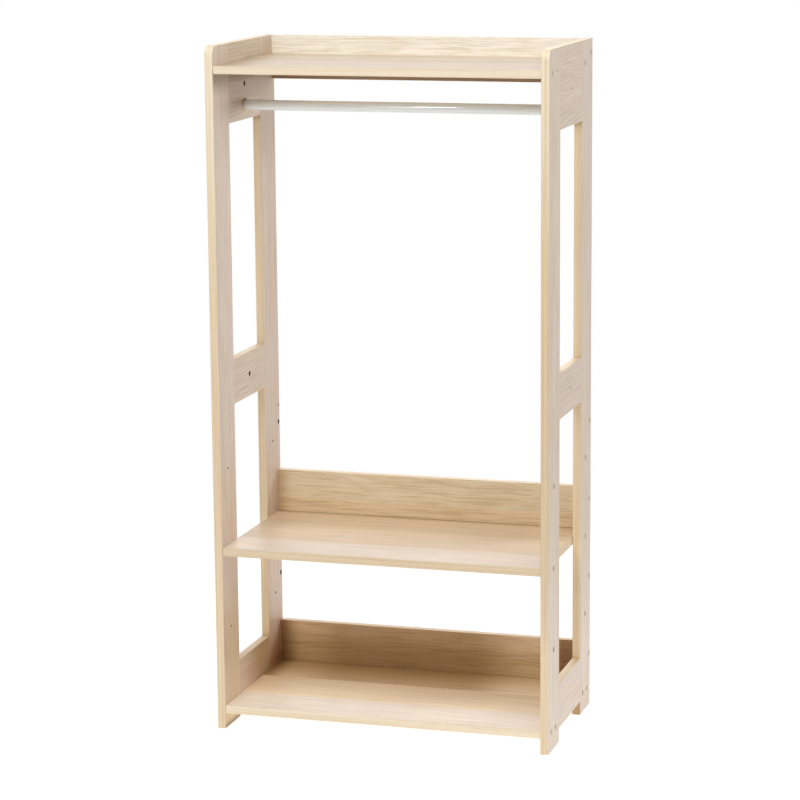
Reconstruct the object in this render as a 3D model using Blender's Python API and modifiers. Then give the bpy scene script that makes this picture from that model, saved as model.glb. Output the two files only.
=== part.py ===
"""A free-standing clothes rack of laminated boards, with two ladder-shaped side frames.

Each side frame has a front and a rear post joined by three rails. Three shelves with a back
board each, and a hanging pipe, tie the two frames together. The middle shelf can be screwed
on at three heights, so the posts are drilled for all of them. Lengths are in metres, the
rack stands on z = 0, and its front faces -Y.
"""

import math

import bmesh
import bpy
from mathutils import Euler, Matrix, Vector

# The whole rack and its boards
RACK_WIDTH = 0.630
RACK_DEPTH = 0.335
RACK_HEIGHT = 1.260
BOARD_THICKNESS = 0.015
POST_WIDTH = 0.082
CORNER_RADIUS = 0.018
ARRIS_RADIUS = 0.0008
FIT_GAP = 0.0003

# Rails between the posts
FOOT_HEIGHT = 0.025
BOTTOM_RAIL_HEIGHT = 0.085
MIDDLE_RAIL_HEIGHT = 0.084
MIDDLE_RAIL_CENTRE = 0.640
TOP_RAIL_HEIGHT = 0.145

# Shelves and back boards
BOTTOM_SHELF_CENTRE = 0.036
SHELF_PITCH = 0.150
SHELF_POSITIONS = 3
MIDDLE_SHELF_STEPS_UP = 2
TOP_SHELF_LIP = 0.035
SHELF_SETBACK = 0.0025
BACK_BOARD_HEIGHT = 0.081
TOP_BACK_BOARD_DROP = 0.001

# Hanging pipe and the blind sockets that hold it
PIPE_DIAMETER = 0.019
PIPE_WALL = 0.0009
PIPE_DROP = 0.118
SOCKET_DEPTH = 0.009
SOCKET_CLEARANCE = 0.00125
PIPE_END_PLAY = 0.0005

# Spare holes for side hooks, drilled from the inner face with a small outlet
HOOK_HOLE_DIAMETER = 0.010
HOOK_HOLE_DEPTH = 0.010
HOOK_OUTLET_DIAMETER = 0.004
TOP_HOOK_HOLE_DROP = 0.079
PILOT_HOLE_DEPTH = 0.003
PILOT_HOLE_RISE = 0.003

# Pan-head screws, sunk in recesses of the posts
SCREW_HEAD_DIAMETER = 0.010
SCREW_HEAD_HEIGHT = 0.0026
SCREW_HEAD_CHAMFER = 0.0006
SCREW_DIAMETER = 0.0042
SCREW_LENGTH = 0.040
SCREW_TIP_LENGTH = 0.005
SCREW_CLEARANCE = 0.0004
RECESS_DEPTH = 0.006
RECESS_CLEARANCE = 0.001
SCREW_PAIR_SPACING = 0.032
BACK_BOARD_SCREW_INSET = 0.024

# Wooden dowels
DOWEL_DIAMETER = 0.008
DOWEL_LENGTH = 0.030
DOWEL_CHAMFER = 0.001
DOWEL_CLEARANCE = 0.0005
RAIL_DOWEL_INSET = 0.020
BACK_BOARD_DOWEL_INSET = 0.024
BACK_BOARD_DOWEL_GRIP = 0.010

# Facets of round things, and how far a cutter starts outside the wood
RECESS_STEPS = 16
HOLE_STEPS = 12
PIPE_STEPS = 32
ARRIS_STEPS = 2
CORNER_STEPS = 8
OVERRUN = 0.001

# Places that follow from the sizes above
FRAME_INNER_X = RACK_WIDTH / 2 - BOARD_THICKNESS
FRAME_CENTRE_X = RACK_WIDTH / 2 - BOARD_THICKNESS / 2
FRONT_Y = -RACK_DEPTH / 2
REAR_Y = RACK_DEPTH / 2
FRONT_POST_Y = FRONT_Y + POST_WIDTH / 2
REAR_POST_Y = REAR_Y - POST_WIDTH / 2
BACK_BOARD_Y = REAR_Y - BOARD_THICKNESS / 2
RAIL_LENGTH = RACK_DEPTH - 2 * POST_WIDTH - 2 * FIT_GAP
SHELF_LENGTH = 2 * (FRAME_INNER_X - FIT_GAP)
TOP_SHELF_CENTRE = RACK_HEIGHT - TOP_SHELF_LIP - BOARD_THICKNESS / 2
PIPE_Z = RACK_HEIGHT - PIPE_DROP
SOCKET_Z = PIPE_Z + SOCKET_CLEARANCE - FIT_GAP
SIDES = {"left": -1, "right": 1}

RAILS = {
    "top_rail": (RACK_HEIGHT - TOP_RAIL_HEIGHT / 2, TOP_RAIL_HEIGHT),
    "middle_rail": (MIDDLE_RAIL_CENTRE, MIDDLE_RAIL_HEIGHT),
    "bottom_rail": (FOOT_HEIGHT + BOTTOM_RAIL_HEIGHT / 2, BOTTOM_RAIL_HEIGHT),
}

# Finishes
OAK = {"colour": (0.70, 0.55, 0.37), "roughness": 0.45, "metallic": 0.0}
BEECH = {"colour": (0.66, 0.46, 0.27), "roughness": 0.60, "metallic": 0.0}
ZINC = {"colour": (0.55, 0.52, 0.45), "roughness": 0.35, "metallic": 1.0}
IVORY = {"colour": (0.66, 0.65, 0.58), "roughness": 0.25, "metallic": 0.0}

# Two points closer than this are the same place
TOUCHING = 0.000001
SHARP_ANGLE = math.radians(32)
QUARTER_TURN = math.pi / 2


def shelf_position_z(steps_up):
    """Height of a shelf's middle plane, that many pitches above the bottom shelf."""
    return BOTTOM_SHELF_CENTRE + steps_up * SHELF_PITCH


def back_board_on(shelf_z):
    """Height of the middle of a back board that stands on a shelf."""
    return shelf_z + BOARD_THICKNESS / 2 + FIT_GAP + BACK_BOARD_HEIGHT / 2


def back_board_screw_z(board_z):
    return board_z + BACK_BOARD_HEIGHT / 2 - BACK_BOARD_SCREW_INSET


def back_board_dowel_z(board_z):
    return board_z - BACK_BOARD_HEIGHT / 2 + BACK_BOARD_DOWEL_INSET


MIDDLE_SHELF_Z = shelf_position_z(MIDDLE_SHELF_STEPS_UP)
TOP_BACK_BOARD_Z = RACK_HEIGHT - TOP_BACK_BOARD_DROP - BACK_BOARD_HEIGHT / 2

SHELVES = {
    "top_shelf": TOP_SHELF_CENTRE,
    "middle_shelf": MIDDLE_SHELF_Z,
    "bottom_shelf": BOTTOM_SHELF_CENTRE,
}
BACK_BOARDS = {
    "top_back_board": TOP_BACK_BOARD_Z,
    "middle_back_board": back_board_on(MIDDLE_SHELF_Z),
    "bottom_back_board": back_board_on(BOTTOM_SHELF_CENTRE),
}

# Where the shelves' screws pass through the posts, as (y, z)
SHELF_SCREWS = {
    "top_shelf": {
        "front": (FRONT_POST_Y - SCREW_PAIR_SPACING / 2, TOP_SHELF_CENTRE),
        "rear": (REAR_POST_Y - SCREW_PAIR_SPACING / 2, TOP_SHELF_CENTRE),
    },
    "middle_shelf": {
        "front": (FRONT_POST_Y, MIDDLE_SHELF_Z),
        "rear": (REAR_POST_Y, MIDDLE_SHELF_Z),
    },
    "bottom_shelf": {
        "front_outer": (FRONT_POST_Y - SCREW_PAIR_SPACING / 2, BOTTOM_SHELF_CENTRE),
        "front_inner": (FRONT_POST_Y + SCREW_PAIR_SPACING / 2, BOTTOM_SHELF_CENTRE),
        "rear_inner": (REAR_POST_Y - SCREW_PAIR_SPACING / 2, BOTTOM_SHELF_CENTRE),
        "rear_outer": (REAR_POST_Y + SCREW_PAIR_SPACING / 2, BOTTOM_SHELF_CENTRE),
    },
}


def clear_scene():
    for thing in list(bpy.data.objects):
        bpy.data.objects.remove(thing, do_unlink=True)


def new_collection(name):
    collection = bpy.data.collections.new(name)
    bpy.context.scene.collection.children.link(collection)
    return collection


def finish(name, colour, roughness, metallic):
    """A Principled BSDF material for one sub-part."""
    material = bpy.data.materials.new(name)
    material.use_nodes = True
    shader = material.node_tree.nodes["Principled BSDF"]
    shader.inputs["Base Color"].default_value = (*colour, 1.0)
    shader.inputs["Roughness"].default_value = roughness
    shader.inputs["Metallic"].default_value = metallic
    material.diffuse_color = (*colour, 1.0)
    return material


def shade(mesh):
    """Smooth shading that keeps the real edges sharp."""
    mesh.shade_smooth()
    mesh.set_sharp_from_angle(angle=SHARP_ANGLE)


def add_part(name, mesh, location, parent, look):
    part = bpy.data.objects.new(name, mesh)
    part.parent = parent
    part.location = Vector(location) - parent.matrix_world.translation
    if not mesh.materials:
        mesh.materials.append(None)
    rack.objects.link(part)
    part.material_slots[0].link = "OBJECT"
    part.material_slots[0].material = finish(name + "_finish", **look)
    return part


def add_empty(name, location, parent=None):
    empty = bpy.data.objects.new(name, None)
    empty.location = location
    empty.parent = parent
    rack.objects.link(empty)
    bpy.context.view_layer.update()
    return empty


def turned(name, profile, steps):
    """A mesh turned about Z from (radius, height) points that run down the outer side."""
    outline = bpy.data.meshes.new(name + "_profile")
    points = [(radius, 0.0, height) for radius, height in profile]
    outline.from_pydata(points, [(i, i + 1) for i in range(len(points) - 1)], [])
    blank = bpy.data.objects.new(name + "_blank", outline)
    rack.objects.link(blank)
    lathe = blank.modifiers.new("turn", "SCREW")
    lathe.axis = "Z"
    lathe.steps = steps
    lathe.render_steps = steps
    lathe.use_merge_vertices = True
    lathe.merge_threshold = TOUCHING
    bpy.context.view_layer.update()
    mesh = bpy.data.meshes.new_from_object(blank.evaluated_get(bpy.context.evaluated_depsgraph_get()))
    mesh.name = name
    welded = bmesh.new()
    welded.from_mesh(mesh)
    bmesh.ops.remove_doubles(welded, verts=welded.verts, dist=TOUCHING)
    welded.to_mesh(mesh)
    welded.free()
    shade(mesh)
    bpy.data.objects.remove(blank)
    bpy.data.meshes.remove(outline)
    return mesh


def cylinder(name, radius, top, bottom, steps):
    """A closed cylinder about Z between two heights."""
    drum = bmesh.new()
    bmesh.ops.create_cone(
        drum, cap_ends=True, segments=steps, radius1=radius, radius2=radius, depth=top - bottom
    )
    bmesh.ops.translate(drum, vec=(0.0, 0.0, (top + bottom) / 2), verts=drum.verts)
    mesh = bpy.data.meshes.new(name)
    drum.to_mesh(mesh)
    drum.free()
    return mesh


def board_mesh(name, size, rounded=None, corner=None):
    """A board as a cube of the given size. rounded and corner pick the edges that are eased."""
    board = bmesh.new()
    bmesh.ops.create_cube(board, size=1.0)
    bmesh.ops.scale(board, vec=size, verts=board.verts)
    if corner:
        edges = [edge for edge in board.edges if corner(*edge.verts)]
        bmesh.ops.bevel(
            board, geom=edges, offset=CORNER_RADIUS, segments=CORNER_STEPS, profile=0.5, affect="EDGES"
        )
    if rounded:
        edges = [edge for edge in board.edges if rounded(*edge.verts)]
        bmesh.ops.bevel(
            board, geom=edges, offset=ARRIS_RADIUS, segments=ARRIS_STEPS, profile=0.5, affect="EDGES"
        )
    mesh = bpy.data.meshes.new(name)
    board.to_mesh(mesh)
    board.free()
    shade(mesh)
    return mesh


def along_edge(axis_a, value_a, axis_b, value_b):
    """A test for the edge where two faces of a board meet, each given by its axis and place."""

    def test(start, end):
        return all(
            near(vertex.co[axis_a], value_a) and near(vertex.co[axis_b], value_b)
            for vertex in (start, end)
        )

    return test


def near(value, target):
    return abs(value - target) < TOUCHING


def on_broad_face(start, end, axis, half):
    """Whether an edge lies in one of the two faces that are half a board away on the axis."""
    return near(abs(start.co[axis]), half) and near(start.co[axis], end.co[axis])


def combine(part, name, shapes, operation="DIFFERENCE"):
    """Cut or join all shapes, (mesh, matrix) pairs that don't touch each other, in one step."""
    joined = bmesh.new()
    for shape, place in shapes:
        copy = shape.copy()
        copy.transform(place)
        joined.from_mesh(copy)
        bpy.data.meshes.remove(copy)
    mesh = bpy.data.meshes.new(f"{part.name}_{name}")
    joined.to_mesh(mesh)
    joined.free()
    cutter = bpy.data.objects.new(mesh.name, mesh)
    cutter.hide_render = True
    cutter.display_type = "WIRE"
    cutters.objects.link(cutter)
    step = part.modifiers.new(name, "BOOLEAN")
    step.object = cutter
    step.operation = operation
    step.solver = "EXACT"


def facing_x(side, location):
    """A matrix that turns local +Z to the outside of the rack on the given side."""
    return Matrix.LocRotScale(Vector(location), Euler((0.0, side * QUARTER_TURN, 0.0)), None)


def facing_y(location):
    """A matrix that turns local +Z to the rear of the rack."""
    return Matrix.LocRotScale(Vector(location), Euler((-QUARTER_TURN, 0.0, 0.0)), None)


def rail_dowel_heights():
    for centre, height in RAILS.values():
        yield centre - height / 2 + RAIL_DOWEL_INSET
        yield centre + height / 2 - RAIL_DOWEL_INSET


def post_screw_spots(at_front):
    """All screw holes of a front or rear post as (y, z), used and spare ones."""
    post_y = FRONT_POST_Y if at_front else REAR_POST_Y
    spots = [(post_y, shelf_position_z(i + 1)) for i in range(SHELF_POSITIONS)]
    for shelf in ("top_shelf", "bottom_shelf"):
        spots += [(y, z) for y, z in SHELF_SCREWS[shelf].values() if (y < 0) == at_front]
    if not at_front:
        spots += [(BACK_BOARD_Y, back_board_screw_z(z)) for z in back_board_heights()]
    return spots


def back_board_heights():
    """Middle heights of every back board position, used and spare ones."""
    spare = [back_board_on(shelf_position_z(i + 1)) for i in range(SHELF_POSITIONS)]
    return [BACK_BOARDS["bottom_back_board"], *spare, TOP_BACK_BOARD_Z]


def build_post(side_name, side, frame, at_front, tools):
    """A full-height post. Only the front one has a round top corner."""
    name = f"{side_name}_{'front' if at_front else 'rear'}_post"
    size = (BOARD_THICKNESS, POST_WIDTH, RACK_HEIGHT)
    half_x, half_y, half_z = (length / 2 for length in size)
    outer_y = -half_y if at_front else half_y
    eased_depth = CORNER_RADIUS if at_front else 0.0

    def rounded(start, end):
        outside = all(abs(v.co.y - outer_y) <= eased_depth + TOUCHING for v in (start, end))
        on_top = all(near(v.co.z, half_z) for v in (start, end))
        return on_broad_face(start, end, 0, half_x) and (outside or on_top)

    corner = along_edge(1, outer_y, 2, half_z) if at_front else None
    post_y = FRONT_POST_Y if at_front else REAR_POST_Y
    mesh = board_mesh(name, size, rounded, corner)
    post = add_part(name, mesh, (side * FRAME_CENTRE_X, post_y, RACK_HEIGHT / 2), frame, OAK)

    outer_x = side * RACK_WIDTH / 2
    inner_x = side * FRAME_INNER_X
    inner_edge_y = post_y - math.copysign(POST_WIDTH / 2, post_y)
    holes = [
        (tools["screw_hole"], facing_x(side, (outer_x, y, z))) for y, z in post_screw_spots(at_front)
    ]
    for z in rail_dowel_heights():
        holes.append((tools["rail_dowel_hole"], facing_y((side * FRAME_CENTRE_X, inner_edge_y, z))))
    if at_front:
        pilot_y = FRONT_POST_Y + SCREW_PAIR_SPACING / 2
        pilot_z = TOP_SHELF_CENTRE + PILOT_HOLE_RISE
        holes.append((tools["pilot_hole"], facing_x(side, (outer_x, pilot_y, pilot_z))))
    else:
        for z in back_board_heights():
            seat = (inner_x, BACK_BOARD_Y, back_board_dowel_z(z))
            holes.append((tools["board_dowel_hole"], facing_x(side, seat)))
    combine(post, "holes", holes)
    return post


def build_rail(side_name, side, frame, rail, tools):
    """A cross rail with its four dowels glued in, two at each end."""
    name = f"{side_name}_{rail}"
    centre_z, height = RAILS[rail]
    size = (BOARD_THICKNESS, RAIL_LENGTH, height)

    def rounded(start, end):
        lengthwise = not near(start.co.y, end.co.y)
        return lengthwise and on_broad_face(start, end, 0, BOARD_THICKNESS / 2)

    mesh = board_mesh(name, size, rounded)
    body = add_part(name, mesh, (side * FRAME_CENTRE_X, 0.0, centre_z), frame, OAK)
    reach = height / 2 - RAIL_DOWEL_INSET
    dowels = [
        (tools["dowel"], facing_y((side * FRAME_CENTRE_X, end * RAIL_LENGTH / 2, centre_z + rise)))
        for end in (-1, 1)
        for rise in (-reach, reach)
    ]
    combine(body, "dowels", dowels, "UNION")
    inner_x = side * FRAME_INNER_X
    if rail == "top_rail":
        socket = facing_x(side, (inner_x, 0.0, SOCKET_Z))
        hook = facing_x(side, (inner_x, 0.0, RACK_HEIGHT - TOP_HOOK_HOLE_DROP))
        combine(body, "holes", [(tools["pipe_socket"], socket), (tools["hook_hole"], hook)])
    elif rail == "middle_rail":
        hook = facing_x(side, (inner_x, 0.0, centre_z))
        combine(body, "holes", [(tools["hook_hole"], hook)])
    return body


def build_shelf(name, parent, tools):
    """A shelf between the frames. The top one stops short of its back board."""
    front = FRONT_Y + SHELF_SETBACK
    rear = REAR_Y - BOARD_THICKNESS - FIT_GAP if name == "top_shelf" else REAR_Y
    size = (SHELF_LENGTH, rear - front, BOARD_THICKNESS)
    half_y = size[1] / 2

    def rounded(start, end):
        at_front = all(near(v.co.y, -half_y) for v in (start, end))
        return at_front and on_broad_face(start, end, 2, BOARD_THICKNESS / 2)

    mesh = board_mesh(name, size, rounded)
    shelf = add_part(name, mesh, (0.0, (front + rear) / 2, SHELVES[name]), parent, OAK)
    bores = [
        (tools["screw_bore"], facing_x(side, (side * SHELF_LENGTH / 2, y, z)))
        for side in SIDES.values()
        for y, z in SHELF_SCREWS[name].values()
    ]
    combine(shelf, "bores", bores)
    return shelf


def build_back_board(name, parent, tools):
    board_z = BACK_BOARDS[name]
    size = (SHELF_LENGTH, BOARD_THICKNESS, BACK_BOARD_HEIGHT)

    def rounded(start, end):
        lengthwise = not near(start.co.x, end.co.x)
        return lengthwise and on_broad_face(start, end, 2, BACK_BOARD_HEIGHT / 2)

    mesh = board_mesh(name, size, rounded)
    board = add_part(name, mesh, (0.0, BACK_BOARD_Y, board_z), parent, OAK)
    bores = []
    for side in SIDES.values():
        end_x = side * SHELF_LENGTH / 2
        screw = facing_x(side, (end_x, BACK_BOARD_Y, back_board_screw_z(board_z)))
        dowel = facing_x(side, (end_x, BACK_BOARD_Y, back_board_dowel_z(board_z)))
        bores += [(tools["screw_bore"], screw), (tools["board_dowel_bore"], dowel)]
    combine(board, "bores", bores)
    return board


def build_pipe(parent):
    """A round tube whose open ends sit in the sockets of the top rails."""
    length = 2 * (FRAME_INNER_X + SOCKET_DEPTH - PIPE_END_PLAY)
    outer = PIPE_DIAMETER / 2
    inner = outer - PIPE_WALL
    profile = [(inner, length / 2), (outer, length / 2), (outer, -length / 2), (inner, -length / 2)]
    mesh = turned("hanging_pipe", [*profile, profile[0]], PIPE_STEPS)
    pipe = add_part("hanging_pipe", mesh, (0.0, 0.0, PIPE_Z), parent, IVORY)
    pipe.rotation_euler = (0.0, QUARTER_TURN, 0.0)
    return pipe


def add_fastener(name, mesh, side, location, parent, look):
    fastener = add_part(name, mesh, location, parent, look)
    fastener.rotation_euler = (0.0, side * QUARTER_TURN, 0.0)
    return fastener


def make_tools():
    """The turned shapes: the screw, the dowel and the cutters for every kind of hole."""
    head_radius = SCREW_HEAD_DIAMETER / 2
    shank_radius = SCREW_DIAMETER / 2
    hole_radius = shank_radius + SCREW_CLEARANCE
    recess_radius = head_radius + RECESS_CLEARANCE
    dowel_radius = DOWEL_DIAMETER / 2
    dowel_hole_radius = dowel_radius + DOWEL_CLEARANCE
    half_dowel = DOWEL_LENGTH / 2
    screw_reach = SCREW_LENGTH - (BOARD_THICKNESS - RECESS_DEPTH)
    hook_radius = HOOK_HOLE_DIAMETER / 2
    outlet_radius = HOOK_OUTLET_DIAMETER / 2
    board_dowel_reach = DOWEL_LENGTH - BACK_BOARD_DOWEL_GRIP
    screw = [
        (0.0, SCREW_HEAD_HEIGHT),
        (head_radius - SCREW_HEAD_CHAMFER, SCREW_HEAD_HEIGHT),
        (head_radius, SCREW_HEAD_HEIGHT - SCREW_HEAD_CHAMFER),
        (head_radius, 0.0),
        (shank_radius, 0.0),
        (shank_radius, SCREW_TIP_LENGTH - SCREW_LENGTH),
        (0.0, -SCREW_LENGTH),
    ]
    dowel = [
        (0.0, half_dowel),
        (dowel_radius - DOWEL_CHAMFER, half_dowel),
        (dowel_radius, half_dowel - DOWEL_CHAMFER),
        (dowel_radius, DOWEL_CHAMFER - half_dowel),
        (dowel_radius - DOWEL_CHAMFER, -half_dowel),
        (0.0, -half_dowel),
    ]
    screw_hole = [
        (0.0, OVERRUN),
        (recess_radius, OVERRUN),
        (recess_radius, -RECESS_DEPTH),
        (hole_radius, -RECESS_DEPTH),
        (hole_radius, -BOARD_THICKNESS - OVERRUN),
        (0.0, -BOARD_THICKNESS - OVERRUN),
    ]
    hook_hole = [
        (0.0, BOARD_THICKNESS + OVERRUN),
        (outlet_radius, BOARD_THICKNESS + OVERRUN),
        (outlet_radius, HOOK_HOLE_DEPTH),
        (hook_radius, HOOK_HOLE_DEPTH),
        (hook_radius, -OVERRUN),
        (0.0, -OVERRUN),
    ]
    turned_profiles = {
        "screw": (screw, HOLE_STEPS),
        "dowel": (dowel, HOLE_STEPS),
        "screw_hole": (screw_hole, RECESS_STEPS),
        "hook_hole": (hook_hole, RECESS_STEPS),
    }
    rail_dowel_depth = half_dowel + OVERRUN
    socket_radius = PIPE_DIAMETER / 2 + SOCKET_CLEARANCE
    # Radius, top, bottom and facets of each plain hole
    plain_holes = {
        "rail_dowel_hole": (dowel_hole_radius, rail_dowel_depth, -rail_dowel_depth, HOLE_STEPS),
        "board_dowel_hole": (dowel_hole_radius, BACK_BOARD_DOWEL_GRIP, -OVERRUN, HOLE_STEPS),
        "board_dowel_bore": (dowel_hole_radius, OVERRUN, -board_dowel_reach - FIT_GAP, HOLE_STEPS),
        "screw_bore": (hole_radius, OVERRUN, -screw_reach - FIT_GAP, HOLE_STEPS),
        "pilot_hole": (outlet_radius, OVERRUN, -PILOT_HOLE_DEPTH, HOLE_STEPS),
        "pipe_socket": (socket_radius, SOCKET_DEPTH, -OVERRUN, PIPE_STEPS),
    }
    shapes = {name: turned(name, *profile) for name, profile in turned_profiles.items()}
    shapes.update({name: cylinder(name, *sizes) for name, sizes in plain_holes.items()})
    return shapes


def build_fasteners(side_name, side, parent, tools):
    """The screws of one side, seated in their recesses, and the dowels of the back boards."""
    seat_x = side * (RACK_WIDTH / 2 - RECESS_DEPTH + FIT_GAP)
    for shelf, spots in SHELF_SCREWS.items():
        for place, (y, z) in spots.items():
            name = f"{side_name}_{shelf}_{place}_screw"
            add_fastener(name, tools["screw"], side, (seat_x, y, z), parent, ZINC)
    dowel_x = side * (FRAME_INNER_X + BACK_BOARD_DOWEL_GRIP - FIT_GAP - DOWEL_LENGTH / 2)
    for board, board_z in BACK_BOARDS.items():
        screw_seat = (seat_x, BACK_BOARD_Y, back_board_screw_z(board_z))
        add_fastener(f"{side_name}_{board}_screw", tools["screw"], side, screw_seat, parent, ZINC)
        dowel_seat = (dowel_x, BACK_BOARD_Y, back_board_dowel_z(board_z))
        add_fastener(f"{side_name}_{board}_dowel", tools["dowel"], side, dowel_seat, parent, BEECH)


clear_scene()
rack = new_collection("clothes_rack")
cutters = new_collection("cutters")
turned_shapes = make_tools()
whole = add_empty("whole_rack", (0.0, 0.0, 0.0))
for frame_name, frame_side in SIDES.items():
    side_frame = add_empty(frame_name + "_frame", (frame_side * FRAME_CENTRE_X, 0.0, 0.0), whole)
    for front in (True, False):
        build_post(frame_name, frame_side, side_frame, front, turned_shapes)
    for rail_name in RAILS:
        build_rail(frame_name, frame_side, side_frame, rail_name, turned_shapes)
    build_fasteners(frame_name, frame_side, whole, turned_shapes)
for shelf_name in SHELVES:
    build_shelf(shelf_name, whole, turned_shapes)
for back_board_name in BACK_BOARDS:
    build_back_board(back_board_name, whole, turned_shapes)
build_pipe(whole)
bpy.context.view_layer.update()
print("clothes rack:", len([part for part in rack.objects if part.type == "MESH"]), "pieces")
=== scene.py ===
# %% [markdown]
# # A clothes rack of laminated boards
# The rack has two ladder-shaped side frames of 15 mm board. Three shelves with a back board each,
# and a round hanging pipe, tie them together. This lesson dresses the measured model for a picture:
# first the camera, the light and the floor, then the printed oak finish of the boards and the holes
# in the posts, and last the small parts, which are the pipe, the screws and the dowels.
#
# The measured model is loaded as a fixed frame. All lengths are in metres. The rack stands on
# z = 0, its middle is at x = 0 and y = 0, and its front faces -Y.

# %% Load the measured frame
import math
import random

import bmesh
import bpy
from mathutils import Matrix, Vector


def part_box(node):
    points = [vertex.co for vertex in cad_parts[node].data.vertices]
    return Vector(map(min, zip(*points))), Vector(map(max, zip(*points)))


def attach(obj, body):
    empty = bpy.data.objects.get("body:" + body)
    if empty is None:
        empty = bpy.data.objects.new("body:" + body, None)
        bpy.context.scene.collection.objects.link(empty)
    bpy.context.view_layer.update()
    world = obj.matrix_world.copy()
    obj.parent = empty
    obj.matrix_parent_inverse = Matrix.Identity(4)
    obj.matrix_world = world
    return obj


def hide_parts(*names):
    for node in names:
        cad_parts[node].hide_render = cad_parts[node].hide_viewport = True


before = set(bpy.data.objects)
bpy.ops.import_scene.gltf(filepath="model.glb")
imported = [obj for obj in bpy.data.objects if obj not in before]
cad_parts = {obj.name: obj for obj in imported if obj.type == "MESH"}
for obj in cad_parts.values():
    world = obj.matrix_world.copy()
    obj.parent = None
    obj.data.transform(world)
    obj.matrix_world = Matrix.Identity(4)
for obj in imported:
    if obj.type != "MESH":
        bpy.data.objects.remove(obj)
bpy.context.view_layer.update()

print("pieces in the model:", len(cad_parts))

# %% [markdown]
# ## The camera
# The reference view looks down at the rack a little and sees its right side. The numbers come from
# fitting a camera to the rack's own corners and holes: 16.6 degrees to the right of straight on,
# 10.9 degrees above level, and a long lens, because the edges hardly converge. A camera looks along
# its own -Z, so its three axes are built from those angles and put into one matrix.

# %% Camera
VIEW_TURN = math.radians(16.60)
VIEW_RISE = math.radians(10.87)
VIEW_ROLL = math.radians(-0.47)
VIEW_PLACE = Vector((1.4691, -4.9522, 1.5956))
LENS = 128.5
SENSOR_WIDTH = 36.0


def camera_matrix(place, turn, rise, roll):
    """The camera's place and axes, from its turn round the rack, its rise and its roll."""
    back = Vector(
        (math.sin(turn) * math.cos(rise), -math.cos(turn) * math.cos(rise), math.sin(rise))
    )
    level_right = (-back).cross(Vector((0.0, 0.0, 1.0))).normalized()
    level_up = level_right.cross(-back)
    right = math.cos(roll) * level_right + math.sin(roll) * level_up
    up = -math.sin(roll) * level_right + math.cos(roll) * level_up
    matrix = Matrix((right, up, back)).transposed().to_4x4()
    matrix.translation = place
    return matrix


scene = bpy.context.scene
camera = bpy.data.objects.new("camera", bpy.data.cameras.new("camera"))
camera.data.lens = LENS
camera.data.sensor_width = SENSOR_WIDTH
camera.matrix_world = camera_matrix(VIEW_PLACE, VIEW_TURN, VIEW_RISE, VIEW_ROLL)
scene.collection.objects.link(camera)
scene.camera = camera
scene.view_settings.view_transform = "Standard"
print("camera distance:", round(VIEW_PLACE.length, 2), "m, lens:", LENS, "mm")

# %% [markdown]
# ## Node trees as ordinary maths
# A finish is a tree of nodes, and a long chain of Math nodes is hard to read. The class Wire wraps
# one output of a node and overloads the operators, so that 1 - mask adds a Math node by itself.
# The class Recipe holds the tree and adds every other kind of node through one method: the node's
# type, its settings, and the values or wires of its sockets. A Finish is the recipe of one surface.

# %% Wires
class Wire:
    """The output of a node. Arithmetic on it adds Math nodes to the same tree."""

    def __init__(self, recipe, output):
        self.recipe = recipe
        self.output = output

    def math(self, operation, *values):
        return self.recipe.add("ShaderNodeMath", {"operation": operation}, dict(enumerate(values)))

    def __add__(self, other):
        return self.math("ADD", self, other)

    def __sub__(self, other):
        return self.math("SUBTRACT", self, other)

    def __rsub__(self, other):
        return self.math("SUBTRACT", other, self)

    def __mul__(self, other):
        return self.math("MULTIPLY", self, other)

    def __truediv__(self, other):
        return self.math("DIVIDE", self, other)

    def __gt__(self, other):
        return self.math("GREATER_THAN", self, other)

    def __lt__(self, other):
        return self.math("LESS_THAN", self, other)

    def __abs__(self):
        return self.math("ABSOLUTE", self)

    def root(self):
        return self.math("SQRT", self)

    def at_least(self, other):
        return self.math("MAXIMUM", self, other)

    __radd__ = __add__
    __rmul__ = __mul__


print("wires are ready")

# %% Recipes
class Recipe:
    """A node tree in the making."""

    def __init__(self, tree):
        self.tree = tree

    def add(self, kind, settings, sockets, output=0):
        """Add a node: settings first, then each socket's value or wire. Returns one output."""
        node = self.tree.nodes.new(kind)
        for setting, value in settings.items():
            if setting == "stops":
                place_stops(node.color_ramp, value)
            else:
                setattr(node, setting, value)
        for socket, value in sockets.items():
            if isinstance(value, (Wire, list)):
                for wire in value if isinstance(value, list) else [value]:
                    self.tree.links.new(wire.output, node.inputs[socket])
            else:
                node.inputs[socket].default_value = value
        return Wire(self, node.outputs[output])

    def vector(self, x, y, z):
        return self.add("ShaderNodeCombineXYZ", {}, {"X": x, "Y": y, "Z": z})


def place_stops(ramp, stops):
    """Set a ramp's stops from (place, grey) pairs."""
    for place, grey in stops[1:-1]:
        ramp.elements.new(place)
    for element, (place, grey) in zip(ramp.elements, stops):
        element.position = place
        element.color = (grey, grey, grey, 1.0)


print("recipes are ready")

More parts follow.
